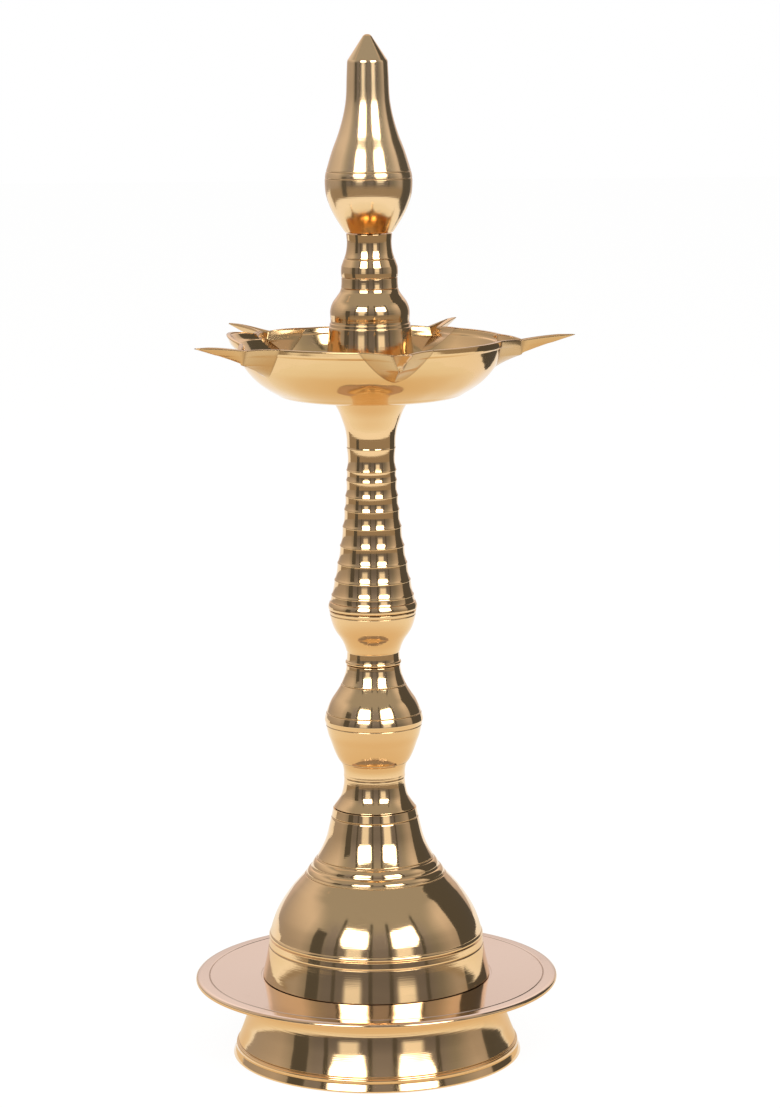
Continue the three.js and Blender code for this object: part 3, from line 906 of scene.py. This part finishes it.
# The plain tones of the studio's walls, ceilings, floor and cards
tones = {
    "bright": (1.1, 0.95, 0.9), "pale": (0.75, 0.7, 0.7), "middle": (0.4, 0.4, 0.4), "front": (0.3, 0.3, 0.35),
    "dark": (0.1, 0.1, 0.1), "rosy": (0.65, 0.55, 0.5), "wood": (0.35, 0.3, 0.25),
    "white": (1, 1, 0.95), "bounce": (0.85, 0.7, 0.5),
}
# Azimuths in degrees, 0 towards the lens and 90 to its right; lengths in metres
studio = {
    "distance": 2.4, "top": 2.6, "ceilingHole": 0.02, "facetAngle": 3,
    # the wall's tone at each azimuth to either side, how dim it is at the floor, and from which height it is full
    "wall": ((0, "front"), (55, "front"), (70, "middle"), (90, "pale"), (145, "pale"), (155, "bright"),
             (180, "bright")),
    "dimmest": 0.55, "fullFrom": 1.6,
    "ceiling": "middle", "ceilingBack": "rosy", "backFrom": 100, "ceilingFade": (1.5, 2.6),
    "floor": {"half": 6, "matte": (0.9, 0.89, 0.87), "glow": 0.92},
    "nearFloor": {"from": 0.056, "to": 0.40, "height": 0.001, "inner": "bounce", "outer": "white"},
    # each glowing panel: middle azimuth and height, half its width and height, corner, softness, and how bright
    "panels": {
        "boxLeft": (-25.5, 1.50, 0.64, 0.60, 0.22, 0.07, 8.0), "boxRight": (34.5, 1.47, 0.64, 0.60, 0.22, 0.07, 8.0),
        "streakLeft": (-24.5, 0.60, 0.32, 0.34, 0.05, 0.16, 1.25),
        "streakRight": (31.0, 0.60, 0.34, 0.34, 0.05, 0.16, 1.40)},
    "lampPower": 9.6, "lampNearer": 0.9,
    # a dark flag stands on each side of a softbox: how many degrees from it, how wide in degrees, and how far away
    "flag": {"gap": 2, "width": 4, "distance": 2.3},
    # from and to which azimuth, then the distance and height of one edge and of the other, and the tone
    "cards": (
        (-75, -60, (0.8, 0.002), (0.8, 0.5), "dark"), (100, 145, (0.6, 0.002), (0.6, 0.9), "dark"),
        (-125, 145, (0.7, 0.001), (2.4, 0.001), "wood")),
}


def glowing(name, colour):
    material, maker = newMaterial(name)
    light = maker.add("ShaderNodeEmission", {}, {"Color": (*colour, 1), "Strength": 1.0})
    maker.add("ShaderNodeOutputMaterial", {}, {"Surface": light})
    return material


def stagePiece(name, corners, faces, material, mirroredOnly=False):
    mesh = bpy.data.meshes.new(name)
    mesh.from_pydata(corners, [], faces)
    mesh.materials.append(material)
    piece = newPiece(name, mesh)
    if mirroredOnly:
        piece.visible_camera = False
        piece.visible_diffuse = False
        piece.visible_shadow = False


def around(azimuth, distance, height):
    a = math.radians(azimuth)
    return (math.sin(a) * distance, -math.cos(a) * distance, height)


# A band that goes round the lamp between two edges, each given by its distance and height, for reflections only
def makeBand(name, start, end, low, high, material):
    steps = max(2, round((end - start) / studio["facetAngle"]))
    corners = []
    for step in range(steps + 1):
        azimuth = start + (end - start) * step / steps
        corners += [around(azimuth, *low), around(azimuth, *high)]
    faces = [(2 * i, 2 * i + 1, 2 * i + 3, 2 * i + 2) for i in range(steps)]
    stagePiece(name, corners, faces, material, mirroredOnly=True)


# The room's wall with the two softboxes on it, each a rounded panel with soft edges over a narrower streak
def wallMaterial():
    material, maker = newMaterial("studioWall")
    place = maker.add("ShaderNodeTexCoord", {}, {}, "Object")
    azimuth = place.part(0).calc("ARCTAN2", -place.part(1)) * (180 / math.pi)
    height = place.part(2)
    half = [(degrees / 360, tones[tone]) for degrees, tone in studio["wall"]]
    stops = [(0.5 - turn, colour) for turn, colour in half[:0:-1]] + [(0.5 + turn, colour) for turn, colour in half]
    tone = maker.add("ShaderNodeValToRGB", {"stops": stops}, {0: azimuth / 360 + 0.5})
    dim = maker.smoothRange(height, 0.0, studio["fullFrom"], studio["dimmest"], 1.0)
    shade = maker.add("ShaderNodeVectorMath", {"operation": "SCALE"}, {0: tone, "Scale": dim})
    shade = maker.blend(maker.smoothRange(height, *studio["ceilingFade"]), shade, (*tones[studio["ceiling"]], 1))
    for middle, level, halfWidth, halfHeight, corner, soft, glow in studio["panels"].values():
        aside = ((azimuth - middle) * (math.pi / 180 * studio["distance"])).calc("ABSOLUTE") - (halfWidth - corner)
        above = (height - level).calc("ABSOLUTE") - (halfHeight - corner)
        gap = maker.length(maker.vector(aside.calc("MAXIMUM", 0), above.calc("MAXIMUM", 0), 0)) - corner
        shade = maker.blend(maker.smoothRange(gap, -soft, soft, 1.0, 0.0), shade, (glow, glow, glow, 1))
    light = maker.add("ShaderNodeEmission", {}, {"Color": shade, "Strength": 1.0})
    maker.add("ShaderNodeOutputMaterial", {}, {"Surface": light})
    return material


# What the brass sees of the floor close by, which the lamp itself shades and tints
def nearFloorMaterial():
    near = studio["nearFloor"]
    material, maker = newMaterial("nearFloor")
    distance = maker.length(maker.add("ShaderNodeTexCoord", {}, {}, "Object"))
    share = maker.smoothRange(distance, near["from"], near["to"])
    shade = maker.blend(share, (*tones[near["inner"]], 1), (*tones[near["outer"]], 1))
    light = maker.add("ShaderNodeEmission", {}, {"Color": shade, "Strength": 1.0})
    maker.add("ShaderNodeOutputMaterial", {}, {"Surface": light})
    return material


def makeFloor():
    floor = studio["floor"]
    half = floor["half"]
    material, maker = newMaterial("floor")
    matte = maker.add("ShaderNodeBsdfDiffuse", {}, {"Color": (*floor["matte"], 1)})
    glow = maker.add("ShaderNodeEmission", {}, {"Color": (1, 1, 1, 1), "Strength": 1.0})
    shader = maker.add("ShaderNodeMixShader", {}, {0: seenDirectly(maker) * floor["glow"], 1: matte, 2: glow})
    maker.add("ShaderNodeOutputMaterial", {}, {"Surface": shader})
    corners = [(-half, -half, 0), (half, -half, 0), (half, half, 0), (-half, half, 0)]
    stagePiece("floor", corners, [(0, 1, 2, 3)], material)


# The lamps light the floor from where the softboxes stand, which the brass sees on the wall
def makeLamp(name, panel):
    middle, level, halfWidth, halfHeight = studio["panels"][panel][:4]
    spot = Vector(around(middle, studio["distance"], level))
    data = bpy.data.lights.new(name, "AREA")
    data.shape = "RECTANGLE"
    data.size = 2 * halfWidth
    data.size_y = 2 * halfHeight
    data.energy = studio["lampPower"] * math.pi * data.size * data.size_y
    lamp = newPiece(name, data)
    back = spot.normalized()
    side = Vector((0, 0, 1)).cross(back).normalized()
    turned = Matrix((side, back.cross(side), back)).transposed().to_4x4()
    lamp.matrix_world = Matrix.Translation(spot * studio["lampNearer"]) @ turned
    lamp.visible_camera = False
    lamp.visible_glossy = False


# Dark strips that edge a softbox's reflection
def makeFlags(panel):
    flag = studio["flag"]
    middle, halfWidth = studio["panels"][panel][0], studio["panels"][panel][2]
    near = math.degrees(halfWidth / studio["distance"]) + flag["gap"]
    far = near + flag["width"]
    low, high = (flag["distance"], 0), (flag["distance"], studio["top"])
    for side, (start, end) in {"Left": (-far, -near), "Right": (near, far)}.items():
        name = f"{panel}Flag{side}"
        makeBand(name, middle + start, middle + end, low, high, glowing(name, tones["dark"]))


def makeStudio():
    far, top, back, near = studio["distance"], studio["top"], studio["backFrom"], studio["nearFloor"]
    makeLamp("lampLeft", "boxLeft")
    makeLamp("lampRight", "boxRight")
    makeBand("wall", -180, 180, (far, 0), (far, top), wallMaterial())
    for name, start, end in (("ceiling", -back, back), ("ceilingBack", back, 360 - back)):
        makeBand(name, start, end, (studio["ceilingHole"], top), (far, top), glowing(name, tones[studio[name]]))
    makeBand("nearFloor", -180, 180, (near["from"], near["height"]), (near["to"], near["height"]), nearFloorMaterial())
    for panel in ("boxLeft", "boxRight"):
        makeFlags(panel)
    for i, (start, end, low, high, tone) in enumerate(studio["cards"]):
        makeBand(f"card{i + 1}", start, end, low, high, glowing(f"card{i + 1}", tones[tone]))


makeCamera()
makeWorld()
makeFloor()
makeStudio()
scene.view_settings.view_transform = "Standard"
print("studio ready")
